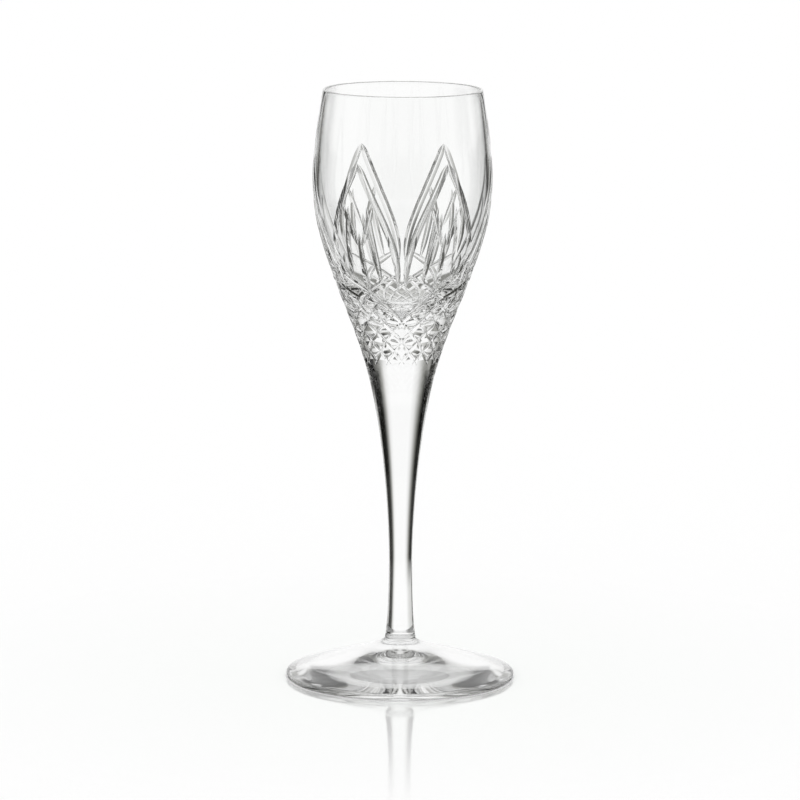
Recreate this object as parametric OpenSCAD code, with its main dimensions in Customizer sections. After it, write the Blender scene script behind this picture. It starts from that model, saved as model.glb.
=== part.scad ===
// Sherry glass: a cut crystal bowl on a drawn stem and a round foot.
// The origin is the middle of the surface that the foot rests on, with Z up. Lengths are millimetres.
// The three pieces are stacked from the table up, and meet at two flat weld faces.

/* [Foot] */
// Diameter of the foot at its edge
foot_d = 71.4; // [64:0.2:80]
// Height of the foot's boss, where the stem stands on it
foot_h = 12.4; // [10:0.2:15]
// Thickness of the foot at its edge
foot_edge_t = 1.9; // [1.6:0.1:2.6]
// Radius that rounds the foot's edge
foot_edge_round = 0.7; // [0.4:0.05:0.75]
// Depth of the hollow under the foot
foot_hollow_h = 5.8; // [2:0.2:7]
// Width of the flat ring that the foot rests on
foot_rest_w = 3; // [2:0.2:5]

/* [Stem] */
// Length of the stem from the foot's boss to the bowl
stem_l = 86.2; // [70:0.2:100]
// Diameter of the stem where it stands on the foot
stem_foot_d = 9.8; // [8:0.2:12]
// Diameter of the stem at its waist
stem_waist_d = 7.3; // [6:0.1:7.8]
// Height of the waist above the foot's boss
stem_waist_h = 24; // [16:0.5:32]
// Diameter of the weld between the stem and the bowl
weld_d = 22.3; // [19:0.1:25]
// Flare of the glass where it crosses that weld, in degrees from upright
weld_flare = 15.5; // [12:0.5:19]

/* [Bowl] */
// Height of the bowl from its weld to the rim
bowl_h = 86.4; // [78:0.2:95]
// Outer diameter of the mouth
mouth_d = 49.6; // [45:0.2:53]
// Outer diameter of the belly, the widest place
belly_d = 55.8; // [54:0.2:60]
// Height of the belly above the weld
belly_h = 58; // [52:0.2:64]
// Thickness of the wall at the rim
rim_wall = 0.9; // [0.7:0.05:1.4]
// Thickness of the wall at the belly
belly_wall = 2.2; // [2:0.05:3]
// Thickness of solid glass between the weld and the hollow
bowl_floor = 14.6; // [12:0.2:18]

/* [Cuts] */
// Depth of the arches' arms and of the zigzag
cut_depth = 0.9; // [0.5:0.05:1.2]
// Width of those cuts at the surface
cut_w = 2.6; // [1.6:0.1:3]
// Depth of the upright blades in the arches
blade_depth = 0.8; // [0.5:0.05:1.1]
// Width of the blades at the surface
blade_w = 2.3; // [1.4:0.1:2.8]
// Height above the weld of the arches' points
arch_tip_h = 65.4; // [60:0.2:68]
// Height above the weld where neighbouring arches meet
arch_foot_h = 26.5; // [24:0.2:30]
// Height above the weld of the low corners of the zigzag below the arches
zigzag_low_h = 15.6; // [13:0.2:18]
// Height above the weld of the zigzag's high corners
zigzag_high_h = 26.4; // [24:0.2:28]
// Height above the weld of the lower end of the middle blade of each arch
blade_low_h = 27.6; // [26:0.2:30]
// Height above the weld of the upper end of that blade
blade_high_h = 45.5; // [42:0.2:50]
// Height above the weld of the lower end of the side blades
side_blade_low_h = 32; // [30:0.2:34]
// Height above the weld of the upper end of the side blades
side_blade_high_h = 53.5; // [50:0.2:56]
// Depth of the fine cuts that cross in diamonds below the zigzag
diamond_depth = 0.36; // [0.3:0.01:0.45]
// Width of the fine cuts at the surface
diamond_w = 1.7; // [1.4:0.05:1.9]
// Height above the weld where the fine cuts start
diamond_low_h = 1.4; // [1:0.1:3]
// Height above the weld at which the fine cuts are evenly spaced
diamond_even_h = 15.8; // [15:0.1:16.6]
// Height that a fine cut climbs over one repeat of the pattern
diamond_climb = 19.2; // [18:0.1:20.4]

/* [Hidden] */

// How many times the cut pattern repeats round the bowl, and the turn from one repeat to the next
repeats = 6;
turn = 360 / repeats;
// Straight pieces that each curve of an outline is drawn with
steps = 10;
// How far a wheel's arc runs on past the cut's ends, and the least bend of its path for its depth
overrun_share = 1.25;
least_bend_share = 1 / 40;
// Facets round a turned surface in a preview
$fn = 96;

weld_z = foot_h + stem_l;
rim_z = weld_z + bowl_h;
waist_z = foot_h + stem_waist_h;
belly_z = weld_z + belly_h;

// Reach of each curve's two handles, as shares of the height that the curve climbs
waist_handle_shares = [0.1, 0.57];
stem_handle_shares = [0.1, 0.41];
bowl_handle_shares = [0.35, 0.35];
shoulder_handle_shares = [0.42, 0.14];
// Lean of the outline inwards at the rim, and of the stem where it stands on the foot, in degrees
rim_lean = 5;
stem_foot_lean = 14.5;

// A point of a cubic curve, and a run of them from its first point to its last
function curve_point(p, t) =
    pow(1 - t, 3) * p[0] + 3 * pow(1 - t, 2) * t * p[1] + 3 * (1 - t) * t * t * p[2] + t * t * t * p[3];
function curve(p) = [for (i = [0 : steps]) curve_point(p, i / steps)];
function reversed(p) = [for (i = [len(p) - 1 : -1 : 0]) p[i]];
// A direction in the outline's plane that leans outwards by some degrees from upright
function lean(degrees) = [sin(degrees), cos(degrees)];

// Outer outline of the bowl, from the weld up to the belly and on to the rim
bowl_rise = curve([
    [weld_d / 2, weld_z],
    [weld_d / 2, weld_z] + lean(weld_flare) * belly_h * bowl_handle_shares[0],
    [belly_d / 2, belly_z - belly_h * bowl_handle_shares[1]],
    [belly_d / 2, belly_z]
]);
shoulder_h = bowl_h - belly_h;
bowl_shoulder = curve([
    [belly_d / 2, belly_z],
    [belly_d / 2, belly_z + shoulder_h * shoulder_handle_shares[0]],
    [mouth_d / 2, rim_z] + lean(rim_lean) * shoulder_h * shoulder_handle_shares[1] * [[1, 0], [0, -1]],
    [mouth_d / 2, rim_z]
]);
bowl_outline = concat(bowl_rise, [for (i = [1 : steps]) bowl_shoulder[i]]);

// Inner outline of the bowl, from the bottom of the hollow up to the belly and on to the rim
hollow_z = weld_z + bowl_floor;
hollow_r = belly_d / 2 - belly_wall;
hollow_handle_shares = [0.4, 0.56];
hollow_rise = curve([
    [0, hollow_z],
    [hollow_r * hollow_handle_shares[0], hollow_z],
    [hollow_r, belly_z - (belly_z - hollow_z) * hollow_handle_shares[1]],
    [hollow_r, belly_z]
]);
hollow_shoulder = curve([
    [hollow_r, belly_z],
    [hollow_r, belly_z + shoulder_h * shoulder_handle_shares[0]],
    [mouth_d / 2 - rim_wall, rim_z - shoulder_h * shoulder_handle_shares[1]],
    [mouth_d / 2 - rim_wall, rim_z]
]);
hollow_outline = concat(hollow_rise, [for (i = [1 : steps]) hollow_shoulder[i]]);

// Outline of the stem, from the foot up to the waist and on to the weld
stem_outline = concat(
    curve([
        [stem_foot_d / 2, foot_h],
        [stem_foot_d / 2 - sin(stem_foot_lean) * stem_waist_h * waist_handle_shares[0],
         foot_h + stem_waist_h * waist_handle_shares[0]],
        [stem_waist_d / 2, waist_z - stem_waist_h * waist_handle_shares[1]],
        [stem_waist_d / 2, waist_z]
    ]),
    [for (i = [1 : steps]) curve([
        [stem_waist_d / 2, waist_z],
        [stem_waist_d / 2, waist_z + (weld_z - waist_z) * stem_handle_shares[0]],
        [weld_d / 2, weld_z] - lean(weld_flare) * (weld_z - waist_z) * stem_handle_shares[1],
        [weld_d / 2, weld_z]
    ])[i]]
);

// Outline of the foot's top, from its edge up to the stem
foot_r = foot_d / 2;
foot_top_handle_shares = [0.225, 0.17];
// How far the foot's top rises over a unit of its run, next to the edge
foot_top_slope_share = 0.42;
foot_top = curve([
    [foot_r - foot_edge_round, foot_edge_t],
    [foot_r - foot_edge_round, foot_edge_t] + foot_r * foot_top_handle_shares[0] * [-1, foot_top_slope_share],
    [stem_foot_d / 2, foot_h - foot_h * foot_top_handle_shares[1]],
    [stem_foot_d / 2, foot_h]
]);
// The hollow under the foot is a wide cone with a rounded top, so the foot is almost evenly thick.
// The shares give the reach of its curve's two handles over its radius, and the height of the outer one.
rest_r = foot_r - foot_edge_round;
hollow_edge_r = rest_r - foot_rest_w;
foot_hollow_handle_shares = [0.28, 0.375];
foot_hollow_rise_share = 0.42;
foot_hollow = curve([
    [0, foot_hollow_h],
    [hollow_edge_r * foot_hollow_handle_shares[0], foot_hollow_h],
    [hollow_edge_r * (1 - foot_hollow_handle_shares[1]), foot_hollow_h * foot_hollow_rise_share],
    [hollow_edge_r, 0]
]);
// The edge is rounded above and below
round_steps = 3;
foot_edge = concat(
    [for (i = [0 : round_steps])
        [rest_r, foot_edge_round] + foot_edge_round * [sin(90 * i / round_steps), -cos(90 * i / round_steps)]],
    [for (i = [0 : round_steps - 1])
        [rest_r, foot_edge_t - foot_edge_round]
            + foot_edge_round * [cos(90 * i / round_steps), sin(90 * i / round_steps)]]
);

// Place of a point on the bowl's outer skin, by its turn from the front and its height above the weld
skin_table = [for (p = bowl_outline) [p[1] - weld_z, p[0]]];
function skin_r(h) = lookup(h, skin_table);
function skin(p) = [skin_r(p[1]) * sin(p[0]), -skin_r(p[1]) * cos(p[0]), weld_z + p[1]];
// Direction straight out of the skin there, from the slope of the outline across a small step of height
function unit(v) = v / norm(v);
function outward(p, step) =
    let (slope = (skin_r(p[1] + step) - skin_r(p[1] - step)) / (2 * step))
    unit([sin(p[0]), -cos(p[0]), -slope]);

// One mitre cut between two places on the skin. The wheel's path is an arc through both places
// that dips below the skin by the cut's depth halfway, so the cut runs out to a point at each end.
// On a long cut the glass bulges more than the cut is deep, and the arc bends with the glass.
// On a short one it bends the other way, as the round wheel does.
module mitre_cut(from, to, depth, width) {
    middle = (from + to) / 2;
    a = skin(from);
    b = skin(to);
    skin_out = outward(middle, depth);
    dip = skin(middle) - depth * skin_out;
    half = norm(b - a) / 2;
    along = unit(b - a);
    rise = (dip - (a + b) / 2) - along * (along * (dip - (a + b) / 2));
    bends_with_glass = rise * skin_out > 0 ? 1 : -1;
    out = bends_with_glass * unit(rise);
    side = cross(out, along);
    // A path that comes out almost straight is bent a little, so that its radius stays finite
    bend = max(norm(rise), depth * least_bend_share);
    arc_r = (half * half + bend * bend) / (2 * bend);
    centre = (a + b) / 2 + bends_with_glass * out * (bend - arc_r);
    reach = 2 * depth;
    half_angle = asin(half / arc_r) * overrun_share;
    multmatrix([
        [out[0], along[0], side[0], centre[0]],
        [out[1], along[1], side[1], centre[1]],
        [out[2], along[2], side[2], centre[2]],
        [0, 0, 0, 1]
    ])
        rotate_extrude(angle = 2 * half_angle, start = (bends_with_glass > 0 ? 0 : 180) - half_angle)
            polygon([
                [arc_r, 0],
                [arc_r + bends_with_glass * reach, width / 2 * reach / depth],
                [arc_r + bends_with_glass * reach, -width / 2 * reach / depth]
            ]);
}

// Where the cuts start and end round the bowl, as shares of one repeat, counted from its middle
arm_turn_shares = [0.02, 0.483];
zigzag_turn_shares = [-0.06, 0.57];
side_blade_turn_shares = [0.28, 0.38];
middle_blade_turn_share = 0.5;
// Where the fine cuts stand at the height at which they are evenly spaced, and how far each runs on from there
// to end in the zigzag, in the same shares
diamond_turn_shares = [0, 1 / 3, 2 / 3];
diamond_run_shares = [1 / 30, 1 / 3, 1 / 6];
// Depth of the fine cuts that lean to the left, as a share of that of the others. The first set is cut deeper,
// so that the second set crosses it without its edge touching the other's.
second_set_share = 0.92;

// A cut is its two ends, each a turn from the front and a height above the weld, its depth and its width.
// Every sloping cut comes with its mirror image.
function mirrored(turn_shares, low_h, high_h, depth, width) = [
    for (i = [0 : repeats - 1])
        for (side = [-1, 1])
            [
                [turn * (i + side * turn_shares[0]), low_h],
                [turn * (i + side * turn_shares[1]), high_h],
                depth,
                width
            ]
];
arms = mirrored(arm_turn_shares, arch_foot_h, arch_tip_h, cut_depth, cut_w);
zigzag = mirrored(zigzag_turn_shares, zigzag_low_h, zigzag_high_h, cut_depth, cut_w);
side_blades = mirrored(side_blade_turn_shares, side_blade_low_h, side_blade_high_h, blade_depth, blade_w);
middle_blades = [
    for (i = [0 : repeats - 1])
        let (blade_turn = turn * (i + middle_blade_turn_share))
            [[blade_turn, blade_low_h], [blade_turn, blade_high_h], blade_depth, blade_w]
];
// Turn of a fine cut over its climb from its lower end, as a share of one repeat
diamond_low_run_share = (diamond_even_h - diamond_low_h) / diamond_climb;
diamonds = [
    for (i = [0 : repeats - 1])
        for (line = [0 : len(diamond_turn_shares) - 1])
            for (side = [-1, 1])
                let (even_share = diamond_turn_shares[line], run_share = diamond_run_shares[line])
                    [
                        [turn * (i + side * (even_share - diamond_low_run_share)), diamond_low_h],
                        [turn * (i + side * (even_share + run_share)), diamond_even_h + run_share * diamond_climb],
                        side > 0 ? diamond_depth : diamond_depth * second_set_share,
                        diamond_w
                    ]
];
CUTS = concat(arms, zigzag, side_blades, middle_blades, diamonds);

// The turned bowl with the first so many cuts taken out of it, one after another as the cutter works
module cut_bowl(count) {
    if (count == 0)
        rotate_extrude()
            polygon(concat([[0, weld_z]], bowl_outline, reversed(hollow_outline)));
    else
        difference() {
            cut_bowl(count - 1);
            mitre_cut(CUTS[count - 1][0], CUTS[count - 1][1], CUTS[count - 1][2], CUTS[count - 1][3]);
        }
}

module bowl() {
    color([0.86, 0.89, 0.88, 0.45])
        cut_bowl(len(CUTS));
}

module stem() {
    color([0.86, 0.89, 0.88, 0.45])
        rotate_extrude()
            polygon(concat([[0, foot_h]], stem_outline, [[0, weld_z]]));
}

module foot() {
    color([0.86, 0.89, 0.88, 0.45])
        rotate_extrude()
            polygon(concat(foot_hollow, foot_edge, foot_top, [[0, foot_h]]));
}

bowl();
stem();
foot();
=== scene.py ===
# %% [markdown]
# A cut crystal sherry glass, dressed for its photograph.
# The glass stands on the origin with Z up, and lengths are in millimetres until a mesh is made.
# The frame gives the three solids of the construction: bowl, stem and foot. Each is turned again here
# with a much finer surface, because clear glass shows every facet that a grey model would hide.

# %% Load the frame
import math

import bpy
import numpy as np
from mathutils import Matrix, Vector


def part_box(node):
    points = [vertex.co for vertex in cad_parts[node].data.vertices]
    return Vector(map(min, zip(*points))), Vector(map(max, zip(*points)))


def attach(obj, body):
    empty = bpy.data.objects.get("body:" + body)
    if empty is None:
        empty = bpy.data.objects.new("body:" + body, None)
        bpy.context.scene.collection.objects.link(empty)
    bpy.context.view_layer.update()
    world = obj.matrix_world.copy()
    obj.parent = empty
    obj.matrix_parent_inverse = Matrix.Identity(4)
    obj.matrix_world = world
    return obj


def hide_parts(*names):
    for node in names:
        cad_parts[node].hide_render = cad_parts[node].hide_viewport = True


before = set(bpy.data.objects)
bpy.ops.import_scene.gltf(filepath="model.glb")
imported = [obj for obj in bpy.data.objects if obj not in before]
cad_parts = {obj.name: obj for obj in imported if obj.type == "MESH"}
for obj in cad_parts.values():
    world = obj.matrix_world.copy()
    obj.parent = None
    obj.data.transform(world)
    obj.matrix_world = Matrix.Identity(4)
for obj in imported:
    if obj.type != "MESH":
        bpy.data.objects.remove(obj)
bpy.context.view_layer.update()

MM = 0.001
foot_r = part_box("foot")[1].x / MM
foot_top_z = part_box("foot")[1].z / MM
weld_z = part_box("bowl")[0].z / MM
rim_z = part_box("bowl")[1].z / MM
belly_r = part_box("bowl")[1].x / MM
weld_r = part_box("stem")[1].x / MM
print(f"foot {2 * foot_r:.1f} mm across, belly {2 * belly_r:.1f} mm")
print(f"bowl from {weld_z:.1f} to {rim_z:.1f} mm")

# %% [markdown]
# The camera comes first. The picture was taken from far away with a long lens, a little above the glass,
# so the rim and the foot show as thin ellipses. Matching those two ellipses settles the distance and the
# height of the camera: about a metre and a half away and a third of a metre up.

# %% Camera
camera_y = -1489.93
camera_z = 335.93
camera_pitch = 9.455
camera_roll = 0.3
camera_lens = 218.25
glass_axis_px = 401.4
picture_px = 800

camera_data = bpy.data.cameras.new("camera")
camera_data.lens = camera_lens
camera_data.shift_x = (picture_px / 2 - glass_axis_px) / picture_px
camera = bpy.data.objects.new("camera", camera_data)
tilt = Matrix.Rotation(math.radians(90 - camera_pitch), 4, "X")
roll = Matrix.Rotation(math.radians(camera_roll), 4, "Z")
camera.matrix_world = Matrix.Translation(Vector((0, camera_y, camera_z)) * MM) @ tilt @ roll
bpy.context.scene.collection.objects.link(camera)
bpy.context.scene.camera = camera
print(f"camera {math.hypot(camera_y, camera_z):.0f} mm from the foot, lens {camera_lens} mm")

# %% [markdown]
# Every piece of this glass was turned about one axis, so each is drawn as an outline first: a list of
# runs, each a smooth curve of (radius, height) points. The last point of a run is the first of the next.
# The runs go round the section with the glass on their left, so the way out of the glass is always to the
# right. A run ends wherever the surface has a true corner. A cubic curve with two handles draws each long
# stretch.


# %% Curves of an outline
def curve(start, start_handle, end_handle, end, steps=40):
    """Points of a cubic curve in the plane of the outline."""
    share = np.linspace(0, 1, steps + 1)[:, None]
    ends = [np.array(p, float) for p in (start, start_handle, end_handle, end)]
    weights = [(1 - share) ** 3, 3 * (1 - share) ** 2 * share, 3 * (1 - share) * share**2, share**3]
    return sum(w * p for w, p in zip(weights, ends))


def arc(centre, radius, start_degrees, end_degrees, steps=8):
    """Points of an arc in the plane of the outline."""
    angle = np.radians(np.linspace(start_degrees, end_degrees, steps + 1))
    return np.column_stack([centre[0] + radius * np.cos(angle), centre[1] + radius * np.sin(angle)])


def lean(degrees):
    """A direction that leans outwards by some degrees from upright."""
    return np.array([math.sin(math.radians(degrees)), math.cos(math.radians(degrees))])


# %% [markdown]
# The bowl is a tall tulip: it flares from the weld up to a belly a third of the way below the rim, and
# closes a little towards the mouth. The wall is thinnest at the lip, which the fire polish has rounded,
# and thickest at the bottom, where nearly 15 mm of solid glass carry the hollow.

# %% Outer wall of the bowl
belly_h = 58
mouth_r = 24.8
lip_r = 0.45
weld_flare = 15.5
rim_lean = 5
rise_shares = (0.35, 0.35)
shoulder_shares = (0.42, 0.14)

belly_z = weld_z + belly_h
shoulder = rim_z - belly_z
outer_rise = curve(
    (weld_r, weld_z),
    (weld_r, weld_z) + lean(weld_flare) * belly_h * rise_shares[0],
    (belly_r, belly_z - belly_h * rise_shares[1]),
    (belly_r, belly_z),
)
outer_shoulder = curve(
    (belly_r, belly_z),
    (belly_r, belly_z + shoulder * shoulder_shares[0]),
    (mouth_r, rim_z) - lean(-rim_lean) * shoulder * shoulder_shares[1],
    (mouth_r, rim_z - lip_r),
)
outer_wall = np.vstack([outer_rise, outer_shoulder[1:]])
print(f"the belly lies {shoulder:.1f} mm below the rim, and the mouth is {2 * mouth_r} mm across")

# %% Hollow of the bowl
belly_wall = 1.9
bowl_floor = 14.6
hollow_shares = (0.4, 0.56)

hollow_z = weld_z + bowl_floor
hollow_r = belly_r - belly_wall
inner_mouth_r = mouth_r - 2 * lip_r
inner_rise = curve(
    (0, hollow_z),
    (hollow_r * hollow_shares[0], hollow_z),
    (hollow_r, belly_z - (belly_z - hollow_z) * hollow_shares[1]),
    (hollow_r, belly_z),
    steps=60,
)
inner_shoulder = curve(
    (hollow_r, belly_z),
    (hollow_r, belly_z + shoulder * shoulder_shares[0]),
    (inner_mouth_r, rim_z - shoulder * shoulder_shares[1]),
    (inner_mouth_r, rim_z - lip_r),
)
inner_wall = np.vstack([inner_rise, inner_shoulder[1:]])
lip = arc((mouth_r - lip_r, rim_z - lip_r), lip_r, 0, 180)
bowl_runs = [
    np.array([(0, weld_z), (weld_r, weld_z)]),
    np.vstack([outer_wall, lip[1:], inner_wall[::-1][1:]]),
]
print(f"the bowl's wall is {2 * lip_r} mm at the lip and {belly_wall} mm at the belly")

# %% [markdown]
# The stem is drawn: a gather of hot glass is stuck to the bowl and pulled, so it is slimmest a little
# above the foot and flows into the bowl without a step. The foot is a thin cone with a raised boss under
# the stem, a rounded edge, a flat ring to stand on and inside that ring a hollow that rises like a low
# tent. Where stem and foot were welded together the surface dips in a crease as fine as a hair, which
# shows as a dark line across the boss.

# %% Outline of the stem
stem_foot_r = 4.9
stem_foot_lean = 14.5
waist_r = 3.65
waist_h = 24
waist_shares = (0.1, 0.57)
stem_shares = (0.1, 0.41)
crease_depth = 0.14
crease_h = 0.3

waist_z = foot_top_z + waist_h
above_waist = weld_z - waist_z
stem_lower = curve(
    (stem_foot_r, foot_top_z),
    (
        stem_foot_r - math.sin(math.radians(stem_foot_lean)) * waist_h * waist_shares[0],
        foot_top_z + waist_h * waist_shares[0],
    ),
    (waist_r, waist_z - waist_h * waist_shares[1]),
    (waist_r, waist_z),
)
stem_upper = curve(
    (waist_r, waist_z),
    (waist_r, waist_z + above_waist * stem_shares[0]),
    (weld_r, weld_z) - lean(weld_flare) * above_waist * stem_shares[1],
    (weld_r, weld_z),
    steps=60,
)
stem_wall = np.vstack([stem_lower, stem_upper[1:]])
crease_r = stem_foot_r - crease_depth
stem_wall = np.vstack([[(crease_r, foot_top_z)], stem_wall[stem_wall[:, 1] > foot_top_z + crease_h]])
stem_runs = [
    np.array([(0, foot_top_z), (crease_r, foot_top_z)]),
    stem_wall,
    np.array([(weld_r, weld_z), (0, weld_z)]),
]
print(f"stem waist {2 * waist_r} mm, crease {crease_depth} mm deep")

# %% Outline of the foot
foot_edge_t = 1.9
foot_edge_round = 0.7
foot_hollow_h = 5.8
foot_hollow_shares = (0.28, 0.375)
foot_hollow_rise_share = 0.42
foot_rest_w = 3
foot_slope = 0.42
foot_top_shares = (0.225, 0.17)

rest_r = foot_r - foot_edge_round
hollow_edge_r = rest_r - foot_rest_w
foot_hollow = curve(
    (0, foot_hollow_h),
    (hollow_edge_r * foot_hollow_shares[0], foot_hollow_h),
    (hollow_edge_r * (1 - foot_hollow_shares[1]), foot_hollow_h * foot_hollow_rise_share),
    (hollow_edge_r, 0),
    steps=60,
)
foot_edge = np.vstack([
    arc((rest_r, foot_edge_round), foot_edge_round, -90, 0),
    arc((rest_r, foot_edge_t - foot_edge_round), foot_edge_round, 0, 90),
])
foot_top = curve(
    (rest_r, foot_edge_t),
    (rest_r - foot_r * foot_top_shares[0], foot_edge_t + foot_r * foot_top_shares[0] * foot_slope),
    (stem_foot_r, foot_top_z - foot_top_z * foot_top_shares[1]),
    (stem_foot_r, foot_top_z),
    steps=80,
)
foot_top = np.vstack([foot_top[foot_top[:, 1] < foot_top_z - crease_h], [(crease_r, foot_top_z)]])
foot_runs = [
    foot_hollow,
    np.vstack([foot_hollow[-1:], foot_edge, foot_top[1:]]),
    np.array([(crease_r, foot_top_z), (0, foot_top_z)]),
]
print(f"foot edge {foot_edge_t} mm thick, hollow {foot_hollow_h} mm high")

# %% [markdown]
# Clear crystal is a transmitting surface with the refractive index of lead glass, almost no colour and a
# perfect polish. What keeps it from looking computed is small: hand-blown glass has a slow waviness, and
# polished cuts keep a faint ripple from the wheel. Both are bump from noise, far too weak to move an
# outline. The weld faces let light straight through, because inside the real glass there is no surface.

# %% Crystal
crystal_ior = 1.545
crystal_colour = (0.993, 0.996, 0.993, 1)


def crystal(name, wave_size, wave_height, ripple_size, ripple_height):
    """Clear glass with a slow wave and a fine ripple on its surface. Sizes are in millimetres."""
    material = bpy.data.materials.new(name)
    material.use_nodes = True
    nodes, links = material.node_tree.nodes, material.node_tree.links
    shader = nodes["Principled BSDF"]
    shader.inputs["Base Color"].default_value = crystal_colour
    shader.inputs["Transmission Weight"].default_value = 1
    shader.inputs["IOR"].default_value = crystal_ior
    shader.inputs["Roughness"].default_value = 0
    where = nodes.new("ShaderNodeTexCoord")
    heights = []
    for size, height in ((wave_size, wave_height), (ripple_size, ripple_height)):
        noise = nodes.new("ShaderNodeTexNoise")
        noise.inputs["Scale"].default_value = 1 / (size * MM)
        noise.inputs["Detail"].default_value = 1
        links.new(where.outputs["Object"], noise.inputs["Vector"])
        scaled = nodes.new("ShaderNodeMath")
        scaled.operation = "MULTIPLY"
        scaled.inputs[1].default_value = height * MM
        links.new(noise.outputs["Fac"], scaled.inputs[0])
        heights.append(scaled.outputs[0])
    total = nodes.new("ShaderNodeMath")
    total.operation = "ADD"
    links.new(heights[0], total.inputs[0])
    links.new(heights[1], total.inputs[1])
    bump = nodes.new("ShaderNodeBump")
    bump.inputs["Strength"].default_value = 1
    bump.inputs["Distance"].default_value = 1
    links.new(total.outputs[0], bump.inputs["Height"])
    links.new(bump.outputs["Normal"], shader.inputs["Normal"])
    return material


# %% The three finishes
def weld_material():
    """Nothing at all: light goes straight through."""
    material = bpy.data.materials.new("weld")
    material.use_nodes = True
    nodes, links = material.node_tree.nodes, material.node_tree.links
    clear = nodes.new("ShaderNodeBsdfTransparent")
    links.new(clear.outputs[0], nodes["Material Output"].inputs["Surface"])
    nodes.remove(nodes["Principled BSDF"])
    return material


SMOOTH = 0
CUT = 1
WELD = 2
polished = crystal("polished_crystal", wave_size=18, wave_height=0.01, ripple_size=3, ripple_height=0.0004)
facets = crystal("cut_facets", wave_size=9, wave_height=0.004, ripple_size=1.2, ripple_height=0.0006)
finishes = [polished, facets, weld_material()]
print("finishes", [finish.name for finish in finishes])

# %% [markdown]
# Turning an outline gives a closed mesh. Every piece has the same three material slots: the smooth glass,
# the cut facets, and the weld faces.


# %% Turning
NO_LENGTH = 1e-9


def finished_mesh(name, vertices, faces, kinds):
    """A mesh in the three finishes. kinds says for each face which finish it has."""
    mesh = bpy.data.meshes.new(name)
    mesh.from_pydata((np.array(vertices) * MM).tolist(), [], faces)
    for finish in finishes:
        mesh.materials.append(finish)
    mesh.polygons.foreach_set("material_index", kinds)
    mesh.update()
    return mesh


def turned_mesh(name, runs, sides, weld_runs):
    """A closed mesh of the outline turned about the axis. Faces of the runs in weld_runs are weld faces."""
    points = np.vstack([runs[0]] + [run[1:] for run in runs[1:]])
    owner = np.repeat(range(len(runs)), [len(run) - 1 for run in runs])
    rings, vertices = [], []
    for radius, height in points:
        if radius < NO_LENGTH:
            rings.append([len(vertices)] * sides)
            vertices.append((0, 0, height))
            continue
        rings.append(list(range(len(vertices), len(vertices) + sides)))
        turns = 2 * math.pi * np.arange(sides) / sides
        vertices += list(zip(radius * np.cos(turns), radius * np.sin(turns), [height] * sides))
    faces, kinds = [], []
    for low, high, run in zip(rings, rings[1:], owner):
        for i in range(sides):
            j = (i + 1) % sides
            corners = list(dict.fromkeys([low[i], low[j], high[j], high[i]]))
            if len(corners) > 2:
                faces.append(corners)
                kinds.append(WELD if run in weld_runs else SMOOTH)
    return finished_mesh(name, vertices, faces, kinds)


# %% [markdown]
# Glass bends light by the direction of its surface, so a turned mesh also gets exact normals. Each face
# finds the stretch of the outline that it lies on and takes its normals from there, and then the turned
# surfaces bend light like true curves. The cut facets keep their own.


# %% Stretches of an outline
FACES_AT_A_TIME = 4000


def outline_place(points):
    """Radius and height of points in space."""
    return np.column_stack([np.hypot(points[:, 0], points[:, 1]), points[:, 2]])


def outline_normals(run):
    """The way out of the glass at each point of a run."""
    along = np.gradient(run, axis=0)
    out = np.column_stack([along[:, 1], -along[:, 0]])
    return out / np.linalg.norm(out, axis=1)[:, None]


def outline_stretches(runs):
    """Each stretch between two points of a run: its start, its step, and the normals at its ends."""
    normals = [outline_normals(run) for run in runs]
    starts = np.vstack([run[:-1] for run in runs])
    steps = np.vstack([np.diff(run, axis=0) for run in runs])
    start_normals = np.vstack([normal[:-1] for normal in normals])
    end_normals = np.vstack([normal[1:] for normal in normals])
    return starts, steps, start_normals, end_normals


def share_along(points, starts, steps):
    """How far along a stretch each point lies, from 0 to 1."""
    share = np.sum((points - starts) * steps, axis=-1) / np.sum(steps**2, axis=-1)
    return np.clip(share, 0, 1)


def nearest_stretches(points, starts, steps):
    """Which stretch lies nearest to each point. It goes a batch at a time, to need less memory."""
    nearest = np.empty(len(points), int)
    for first in range(0, len(points), FACES_AT_A_TIME):
        batch = points[first : first + FACES_AT_A_TIME, None]
        share = share_along(batch, starts, steps)[..., None]
        gap = np.linalg.norm(batch - starts - share * steps, axis=-1)
        nearest[first : first + FACES_AT_A_TIME] = gap.argmin(1)
    return nearest


# %% True normals
SHARP_DEGREES = 15


def mesh_values(items, name, width=1, number=float):
    """What each of a mesh's items holds under a name: one number, or a row of them."""
    values = np.empty(len(items) * width, number)
    items.foreach_get(name, values)
    return values if width == 1 else values.reshape(-1, width)


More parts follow.
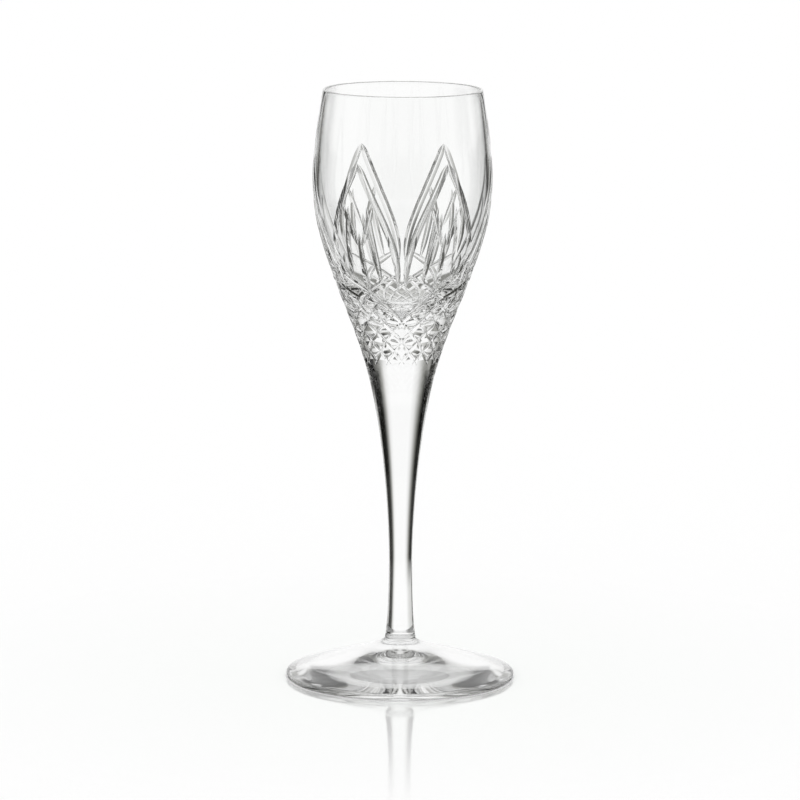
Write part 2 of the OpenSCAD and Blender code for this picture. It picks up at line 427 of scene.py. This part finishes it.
def set_true_normals(mesh, runs):
    """Gives the turned faces the normals of the outline, and leaves those of the cut facets alone."""
    mesh.polygons.foreach_set("use_smooth", [True] * len(mesh.polygons))
    mesh.set_sharp_from_angle(angle=math.radians(SHARP_DEGREES))
    corner = mesh_values(mesh.corner_normals, "vector", 3)
    place = mesh_values(mesh.vertices, "co", 3) / MM
    middle = mesh_values(mesh.polygons, "center", 3) / MM
    kind = mesh_values(mesh.polygons, "material_index", number=int)
    face_size = mesh_values(mesh.polygons, "loop_total", number=int)
    corner_vertex = mesh_values(mesh.loops, "vertex_index", number=int)

    starts, steps, start_normals, end_normals = outline_stretches(runs)
    turned = kind != CUT
    stretch_of_face = np.full(len(kind), -1)
    stretch_of_face[turned] = nearest_stretches(outline_place(middle[turned]), starts, steps)
    stretch_of_corner = np.repeat(stretch_of_face, face_size)
    on_turned = stretch_of_corner >= 0
    stretch = stretch_of_corner[on_turned]
    point = place[corner_vertex[on_turned]]
    flat_point = outline_place(point)
    share = share_along(flat_point, starts[stretch], steps[stretch])[:, None]
    flat = start_normals[stretch] * (1 - share) + end_normals[stretch] * share
    flat /= np.linalg.norm(flat, axis=1)[:, None]
    sideways = flat[:, :1] * point[:, :2] / np.maximum(flat_point[:, :1], NO_LENGTH)
    corner[on_turned] = np.column_stack([sideways, flat[:, 1]])
    mesh.normals_split_custom_set(corner.tolist())


# %% [markdown]
# The decoration is mitre cutting: the glass is pressed against a stone wheel with a sharp V edge. Each
# stroke is a line drawn on the skin of the bowl, given by its turn from the front in degrees and its height
# above the weld. The wheel sinks in at one end of it and comes out at the other. A cutter for one stroke is
# therefore a long wedge whose edge follows the line below the skin. The edge is a little rounded, as on a
# worn wheel. Taking real wedges out of a solid bowl, rather than painting lines, gives facets that catch
# and bend light, and little pyramids where strokes cross.

# %% Places on the skin
repeats = 6
repeat_turn = 360 / repeats
arch_h = 66
slope_step = 0.5


def skin_radius(height):
    """Radius of the bowl's outer skin at a height."""
    return np.interp(height, outer_wall[:, 1], outer_wall[:, 0])


def skin_frame(turns, heights):
    """Places on the skin along a line, and the ways out of the glass and across the line there."""
    angle = np.radians(turns)
    radius = skin_radius(heights)
    place = np.column_stack([radius * np.sin(angle), -radius * np.cos(angle), heights])
    slope = (skin_radius(heights + slope_step) - skin_radius(heights - slope_step)) / (2 * slope_step)
    out = np.column_stack([np.sin(angle), -np.cos(angle), -slope])
    out /= np.linalg.norm(out, axis=1)[:, None]
    along = np.gradient(place, axis=0)
    along /= np.linalg.norm(along, axis=1)[:, None]
    return place, out, np.cross(out, along)


print(f"the skin is {2 * skin_radius(weld_z + arch_h):.1f} mm across where the arches end")

# %% A wheel stroke
ACROSS_SHARES = np.array([-1, -0.45, -0.2, -0.1, 0, 0.1, 0.2, 0.45, 1])
FEWEST_STEPS = 6


def stroke(line, depth, width, run_in, run_out, lift=0.7, spacing=0.9, worn=0.12):
    """Vertices and faces of the wedge for one stroke along a line of (turn, height) points.

    It is depth deep and width wide in its middle, and sinks in and comes out over run_in and run_out.
    It reaches up to lift above the skin, has a ring of points at each spacing, and its edge is worn round.
    """
    line = np.array(line, float) + (0, weld_z)
    place = skin_frame(line[:, 0], line[:, 1])[0]
    travel = np.concatenate([[0], np.cumsum(np.linalg.norm(np.diff(place, axis=0), axis=1))])
    count = max(int(travel[-1] / spacing), FEWEST_STEPS)
    spot = np.linspace(0, travel[-1], count + 1)
    turns = np.interp(spot, travel, line[:, 0])
    heights = np.interp(spot, travel, line[:, 1])
    place, out, across = skin_frame(turns, heights)
    rise_in = np.clip(spot / run_in, 0, 1)
    rise_out = np.clip((travel[-1] - spot) / run_out, 0, 1)
    deep = depth * (1 - (1 - rise_in) ** 2) * (1 - (1 - rise_out) ** 2)
    steepness = math.sqrt((depth + worn) ** 2 - worn**2) / (width / 2)
    spread = np.sqrt((deep + lift + worn) ** 2 - worn**2) / steepness
    sideways = spread[:, None] * ACROSS_SHARES
    height = np.sqrt(worn**2 + (steepness * sideways) ** 2) - worn - deep[:, None]
    vertices = place[:, None] + out[:, None] * height[..., None] + across[:, None] * sideways[..., None]
    ring = len(ACROSS_SHARES)
    faces = [tuple(reversed(range(ring))), tuple(range(ring * count, ring * (count + 1)))]
    for i in range(count):
        for j in range(ring):
            k = (j + 1) % ring
            faces.append((ring * i + k, ring * (i + 1) + k, ring * (i + 1) + j, ring * i + j))
    return vertices.reshape(-1, 3), faces


def cutters(name, lines, **wheel):
    """One mesh that holds a wedge for each of the lines, which don't meet each other."""
    vertices, faces = [], []
    for line in lines:
        more, those = stroke(line, **wheel)
        faces += [tuple(v + len(vertices) for v in face) for face in those]
        vertices += more.tolist()
    return finished_mesh(name, vertices, faces, [CUT] * len(faces))


def round_the_bowl(line, mirrored):
    """The same line at each repeat of the pattern, or its mirror image there."""
    line = np.array(line, float)
    side = -1 if mirrored else 1
    return [np.column_stack([repeat_turn * i + side * line[:, 0], line[:, 1]]) for i in range(repeats)]


# %% [markdown]
# The pattern repeats six times round the bowl and is its own mirror image. Tall pointed arches stand side
# by side, each arm a long curved stroke. In each arch a blade stands upright in the middle, a side blade
# leans inwards on either side of it, and two leaves lean outwards from its tip. Below the arches a zigzag
# of long strokes bounds a band of diamonds, where two families of slanting strokes cross each other down
# to the weld.

# %% Lines of the cut pattern
arch_turn = repeat_turn / 2
arm = curve((3.5, 25.9), (0.9, 38.5), (12.4, 48.2), (arch_turn, arch_h), steps=24)
zigzag = [(-2, 15.2), (30, 25.4), (57, 32)]
side_blade = [(16.8, 28.4), (23.4, 52.9)]
middle_blade = [(arch_turn, 25.9), (arch_turn, 44.9)]
leaf = [(31.8, 40.4), (41, 53.4)]
diamond_slope = 0.32
diamond_turn = 20
diamond_low = 1.4
diamond_start = 15.8
diamond_run_ups = (2, 20, 10)


def diamond_line(first_turn, run_up):
    """One slanting stroke of the diamonds, from the weld up to the zigzag."""
    low_turn = first_turn - (diamond_start - diamond_low) / diamond_slope
    return [(low_turn, diamond_low), (first_turn + run_up, diamond_start + run_up * diamond_slope)]


diamond_lines = [diamond_line(diamond_turn * i, run_up) for i, run_up in enumerate(diamond_run_ups)]
print(f"one repeat is {repeat_turn:.0f} degrees wide and holds {2 * len(diamond_lines)} diamond strokes")

# %% [markdown]
# Three wheels cut the pattern: a wide one for the arches and the zigzag, a narrower one for the blades and
# the leaves, and a fine one for the diamonds. All strokes of one family and one slant go into one cutter.
# Strokes in the same cutter may not cross, because a boolean wants clean closed meshes.

# %% Cutters
WIDE = dict(depth=0.95, width=2.4)
BLADE = dict(depth=0.85, width=2)
FINE = dict(depth=0.36, width=1.7, lift=0.3, worn=0.05)
patterns = {
    "arms": ([arm], WIDE | dict(run_in=14, run_out=4)),
    "zigzag": ([zigzag], WIDE | dict(run_in=5, run_out=9)),
    "side_blades": ([side_blade], BLADE | dict(run_in=8, run_out=8)),
    "leaves": ([leaf], BLADE | dict(run_in=5, run_out=5)),
    "diamonds": (diamond_lines, FINE | dict(run_in=5, run_out=2)),
}
cutter_meshes = [
    cutters(
        f"{name}_{'left' if mirrored else 'right'}",
        [copy for line in lines for copy in round_the_bowl(line, mirrored)],
        **wheel,
    )
    for name, (lines, wheel) in patterns.items()
    for mirrored in (False, True)
]
# A middle blade is its own mirror image, so it is cut once
middle_wheel = BLADE | dict(run_in=4, run_out=10)
cutter_meshes.append(cutters("middle_blades", round_the_bowl(middle_blade, False), **middle_wheel))
print(f"{len(cutter_meshes)} cutters hold {sum(len(m.vertices) for m in cutter_meshes)} vertices")

# %% [markdown]
# A boolean takes the cutters out of the turned bowl, one family after another, as the cutter works. The
# manifold solver is quick and exact on closed meshes. Its new faces keep the cutter's material index, so
# the facets can later be told from the turned skin.


# %% Cutting the bowl
def cut_away(mesh, cutter):
    """The mesh with the cutter taken out of it."""
    body = bpy.data.objects.new("body", mesh)
    tool = bpy.data.objects.new("tool", cutter)
    for obj in (body, tool):
        bpy.context.scene.collection.objects.link(obj)
    boolean = body.modifiers.new("cut", "BOOLEAN")
    boolean.operation = "DIFFERENCE"
    boolean.solver = "MANIFOLD"
    boolean.object = tool
    graph = bpy.context.evaluated_depsgraph_get()
    result = bpy.data.meshes.new_from_object(body.evaluated_get(graph))
    for obj in (body, tool):
        bpy.data.objects.remove(obj)
    return result


bowl_sides = 288
bowl_mesh = turned_mesh("bowl", bowl_runs, bowl_sides, weld_runs=[0])
for cutter in cutter_meshes:
    bowl_mesh = cut_away(bowl_mesh, cutter)
kinds = np.array([p.material_index for p in bowl_mesh.polygons])
print(f"the cut bowl has {len(kinds)} faces, {np.sum(kinds == CUT)} of them on cuts")

# %% Finish the pieces
stem_sides = 128
foot_sides = 256
stem_mesh = turned_mesh("stem", stem_runs, stem_sides, weld_runs=[0, 2])
foot_mesh = turned_mesh("foot", foot_runs, foot_sides, weld_runs=[2])
pieces = {"bowl": (bowl_mesh, bowl_runs), "stem": (stem_mesh, stem_runs), "foot": (foot_mesh, foot_runs)}
for name, (mesh, runs) in pieces.items():
    set_true_normals(mesh, runs)
    piece = bpy.data.objects.new(f"{name}_crystal", mesh)
    bpy.context.scene.collection.objects.link(piece)
    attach(piece, "root")
    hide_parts(name)
    print(f"{piece.name}: {len(mesh.polygons)} faces")

# %% [markdown]
# Glass has no colour of its own to show: it shows the room. A product photographer lights it from behind,
# with a white sheet just wider than the picture and dark on both sides of it. Looking straight through the
# glass one sees the sheet, and where the glass bends light further the dark comes in and draws the edges.
# The world below is that room, painted by direction. That is quicker than real sheets and boards, and it
# lets the camera and the table see plain white, while light that comes through the glass sees the room.

# %% Helpers for node trees
WHITE = (1, 1, 1)

world = bpy.data.worlds.new("studio")
bpy.context.scene.world = world
world.use_nodes = True
nodes, links = world.node_tree.nodes, world.node_tree.links


def math_node(operation, *inputs):
    """A maths node of the current tree, fed by numbers or by other nodes."""
    node = nodes.new("ShaderNodeMath")
    node.operation = operation
    for socket, value in zip(node.inputs, inputs):
        if isinstance(value, (int, float)):
            socket.default_value = value
        else:
            links.new(value, socket)
    return node.outputs[0]


def mix_colour(factor, a, b):
    """Colour a where the factor is 0, and b where it is 1."""
    node = nodes.new("ShaderNodeMix")
    node.data_type = "RGBA"
    links.new(factor, node.inputs["Factor"])
    for socket, value in ((node.inputs["A"], a), (node.inputs["B"], b)):
        if isinstance(value, tuple):
            socket.default_value = (*value, 1)
        else:
            links.new(value, socket)
    return node.outputs["Result"]


# %% Tones by direction
warmth = 1.05

direction = nodes.new("ShaderNodeSeparateXYZ")
links.new(nodes.new("ShaderNodeTexCoord").outputs["Generated"], direction.inputs[0])
turn = math_node("ARCTAN2", direction.outputs["X"], direction.outputs["Y"])
elevation = math_node("ARCSINE", direction.outputs["Z"])


def tone(brightness):
    """White, or a darker tone that is a little warmer."""
    return (brightness, brightness, brightness**warmth)


def around(stops):
    """Tones round the room. Stops are (degrees to the right from straight behind, brightness)."""
    node = nodes.new("ShaderNodeValToRGB")
    elements = node.color_ramp.elements
    elements.remove(elements[1])
    for i, (degrees, brightness) in enumerate(sorted(stops)):
        element = elements.new(degrees / 360 + 0.5) if i else elements[0]
        element.position = degrees / 360 + 0.5
        element.color = (*tone(brightness), 1)
    links.new(math_node("ADD", math_node("DIVIDE", turn, 2 * math.pi), 0.5), node.inputs["Fac"])
    return node.outputs["Color"]


def from_height(below, degrees, blend, above):
    """Colour below up to a height in degrees over the horizon, and the colour above from there on."""
    node = nodes.new("ShaderNodeMapRange")
    node.interpolation_type = "SMOOTHSTEP"
    links.new(elevation, node.inputs["Value"])
    node.inputs["From Min"].default_value = math.radians(degrees - blend / 2)
    node.inputs["From Max"].default_value = math.radians(degrees + blend / 2)
    return mix_colour(node.outputs["Result"], below, above)


# %% [markdown]
# The smooth parts of the glass tell what the room was like. The stem's black edges need black boards at
# both sides of the sheet, with soft inner edges. The sparkle of the cuts needs lamps and dark gaps above
# and below, and the dark line of the rim needs a dark patch low behind the glass. Each band of the room is
# a ring of stops, and the bands stand one above another.

# %% Bands of the room
# Steeply down: white in front and behind, and dark at both sides
lowest = [
    (-180, 1), (-140, 1), (-128, 0.2), (-75, 0.1), (-62, 0.5), (-35, 1), (0, 0.8), (25, 0.7),
    (36, 0.1), (120, 0.1), (134, 0.9), (180, 1),
]
# The others: where a band starts, in degrees over the horizon, how softly it starts, and its stops
bands = [
    # Down past the foot: the same with black, and a grey patch straight behind
    (-60, 8, [
        (-180, 1), (-138, 1), (-130, 0.05), (-44, 0.03), (-36, 0.9), (-12, 1), (-5, 0.55), (5, 0.55),
        (12, 1), (27, 0.6), (36, 0.05), (120, 0.05), (130, 1), (180, 1),
    ]),
    # Beyond the foot: a dark board straight behind, which draws the rim, and more at both sides
    (-40, 6, [
        (-180, 1), (-130, 1), (-120, 0.05), (-42, 0.03), (-32, 0.9), (-22, 0.95), (-13, 0.2),
        (13, 0.2), (20, 0.9), (28, 0.6), (36, 0.03), (54, 0.05), (62, 0.9), (96, 0.9), (102, 0.1),
        (112, 0.1), (120, 1), (180, 1),
    ]),
    # Low down: a white sheet between two narrow black boards
    (-30, 3, [
        (-180, 0.9), (-140, 0.85), (-100, 0.75), (-88, 0.03), (-66, 0.05), (-58, 0.7), (-34, 0.75),
        (-22, 1), (20, 1), (27, 0.7), (34, 0.03), (54, 0.02), (60, 0.6), (72, 0.8), (95, 0.9),
        (180, 0.9),
    ]),
    # The sheet itself, between two black boards with soft inner edges, and white cards beside them
    (-12, 4, [
        (-180, 0.4), (-150, 0.5), (-125, 0.65), (-110, 0.9), (-66, 0.95), (-60, 0.02), (-42, 0),
        (-35, 0.08), (-29, 0.3), (-21, 0.8), (-14, 1), (16, 1), (22, 0.85), (28, 0.3), (34, 0.01),
        (55, 0), (62, 0.4), (68, 0.95), (110, 0.9), (125, 0.65), (150, 0.5), (180, 0.4),
    ]),
    # The top of the sheet, which is narrower, between black and grey
    (13, 5, [
        (-180, 0.05), (-150, 0.35), (-110, 0.45), (-75, 0.35), (-66, 0.05), (-60, 0), (-46, 0.02),
        (-41, 0.35), (-30, 0.3), (-22, 0.6), (-14, 0.95), (12, 1), (20, 0.7), (30, 0.3), (37, 0.2),
        (42, 0), (64, 0), (75, 0.35), (110, 0.4), (180, 0.05),
    ]),
    # Over the sheet: one lamp behind and two in front
    (28, 6, [
        (-180, 0.02), (-164, 0.02), (-156, 0.8), (-136, 0.8), (-128, 0.02), (-34, 0.02), (-24, 0.5),
        (-14, 0.9), (12, 0.9), (22, 0.5), (34, 0.01), (128, 0.02), (136, 0.8), (156, 0.8), (164, 0.02),
    ]),
    # The ceiling: a lamp behind and a weaker one in front
    (46, 10, [
        (-180, 0.7), (-138, 0.7), (-126, 0.04), (-34, 0.04), (-16, 0.9), (16, 0.9), (34, 0.04),
        (126, 0.04), (138, 0.7),
    ]),
]
room = around(lowest)
for lower_edge, blend, stops in bands:
    room = from_height(room, lower_edge, blend, around(stops))
print(f"the room has {len(bands) + 1} bands")

# %% [markdown]
# Light that is only mirrored, from the skin of the glass or from the table, sees another room. Upwards it
# is white, so that the table stays white from all sides. Below the horizon it is black at both sides: at
# its edges the glass mirrors what is beside it, and that keeps the edges dark.

# %% What each kind of light sees
mirror_horizon = 1
mirror_blend = 3
mirror_stops = [
    (-180, 0.95), (-105, 0.95), (-92, 0.6), (-80, 0), (-26, 0), (-16, 1), (16, 1), (26, 0), (80, 0),
    (92, 0.6), (105, 0.95), (180, 0.95),
]
mirror_room = from_height(around(mirror_stops), mirror_horizon, mirror_blend, WHITE)
path = nodes.new("ShaderNodeLightPath")
through_glass = math_node("MAXIMUM", path.outputs["Is Glossy Ray"], path.outputs["Is Transmission Ray"])
from_table = math_node("GREATER_THAN", path.outputs["Diffuse Depth"], 0.5)
dressed = math_node("MULTIPLY", through_glass, math_node("SUBTRACT", 1.0, from_table))
seen = mix_colour(path.outputs["Is Transmission Ray"], mirror_room, room)
links.new(mix_colour(dressed, WHITE, seen), nodes["Background"].inputs["Color"])
nodes["Background"].inputs["Strength"].default_value = 1
print(f"the mirrored room has {len(mirror_stops)} stops below the horizon")

# %% [markdown]
# The table is a white sheet. It is lit from all round, so it stays white and keeps only the soft shadow of
# the glass. Its polish mirrors the stem. The mirror is strongest in front of the foot and fades to nothing
# farther out, as the picture shows, and has a trace of the glass's green. Light from the glass should see
# the lower bands of the room and not the table, so the table lets that light pass, except under the foot.

# %% The table
table_size = 6000
table_drop = 0.05

half = table_size / 2 * MM
corners = [(x * half, y * half, -table_drop * MM) for x, y in ((-1, -1), (1, -1), (1, 1), (-1, 1))]
table_mesh = bpy.data.meshes.new("table")
table_mesh.from_pydata(corners, [], [(0, 1, 2, 3)])
table = bpy.data.objects.new("table", table_mesh)
bpy.context.scene.collection.objects.link(table)
print(f"table {table_size / 1000:.0f} m across")

# %% The table's polish
mirror_share = 0.7
mirror_blur = 0.06
mirror_reach = 165
mirror_colour = (0.965, 0.985, 0.965, 1)
seen_table_r = 36

material = bpy.data.materials.new("white_table")
material.use_nodes = True
table_mesh.materials.append(material)
nodes, links = material.node_tree.nodes, material.node_tree.links
nodes.remove(nodes["Principled BSDF"])
matt = nodes.new("ShaderNodeBsdfDiffuse")
matt.inputs["Color"].default_value = (*WHITE, 1)
mirror = nodes.new("ShaderNodeBsdfGlossy")
mirror.inputs["Color"].default_value = mirror_colour
mirror.inputs["Roughness"].default_value = mirror_blur
surface = nodes.new("ShaderNodeMixShader")
links.new(matt.outputs[0], surface.inputs[1])
links.new(mirror.outputs[0], surface.inputs[2])
spot = nodes.new("ShaderNodeVectorMath")
spot.operation = "LENGTH"
links.new(nodes.new("ShaderNodeTexCoord").outputs["Object"], spot.inputs[0])
left_over = math_node("SUBTRACT", mirror_reach * MM, spot.outputs["Value"])
fading = math_node("MULTIPLY", left_over, mirror_share / (mirror_reach * MM))
far = math_node("GREATER_THAN", spot.outputs["Value"], seen_table_r * MM)
links.new(math_node("MULTIPLY", math_node("MAXIMUM", fading, 0.0), far), surface.inputs["Fac"])
print(f"the table mirrors up to {mirror_reach} mm from the axis")

# %% Light that the table lets pass
path = nodes.new("ShaderNodeLightPath")
passing = math_node("MAXIMUM", path.outputs["Is Glossy Ray"], path.outputs["Is Transmission Ray"])
pass_on = nodes.new("ShaderNodeMixShader")
links.new(math_node("MULTIPLY", far, passing), pass_on.inputs["Fac"])
links.new(surface.outputs[0], pass_on.inputs[1])
links.new(nodes.new("ShaderNodeBsdfTransparent").outputs[0], pass_on.inputs[2])
links.new(pass_on.outputs[0], nodes["Material Output"].inputs["Surface"])
print(f"the glass sees {seen_table_r} mm of the table round the axis")

# %% [markdown]
# Light in cut glass bounces many times before it comes out, and each bounce that is not followed turns
# black. The limits are therefore raised well above Blender's usual ones.

# %% Light paths
most_bounces = 32
mirror_bounces = 24

bpy.context.scene.view_settings.view_transform = "Standard"
cycles = bpy.context.scene.cycles
cycles.max_bounces = most_bounces
cycles.transmission_bounces = most_bounces
cycles.glossy_bounces = mirror_bounces
cycles.transparent_max_bounces = most_bounces
print(f"up to {most_bounces} bounces")
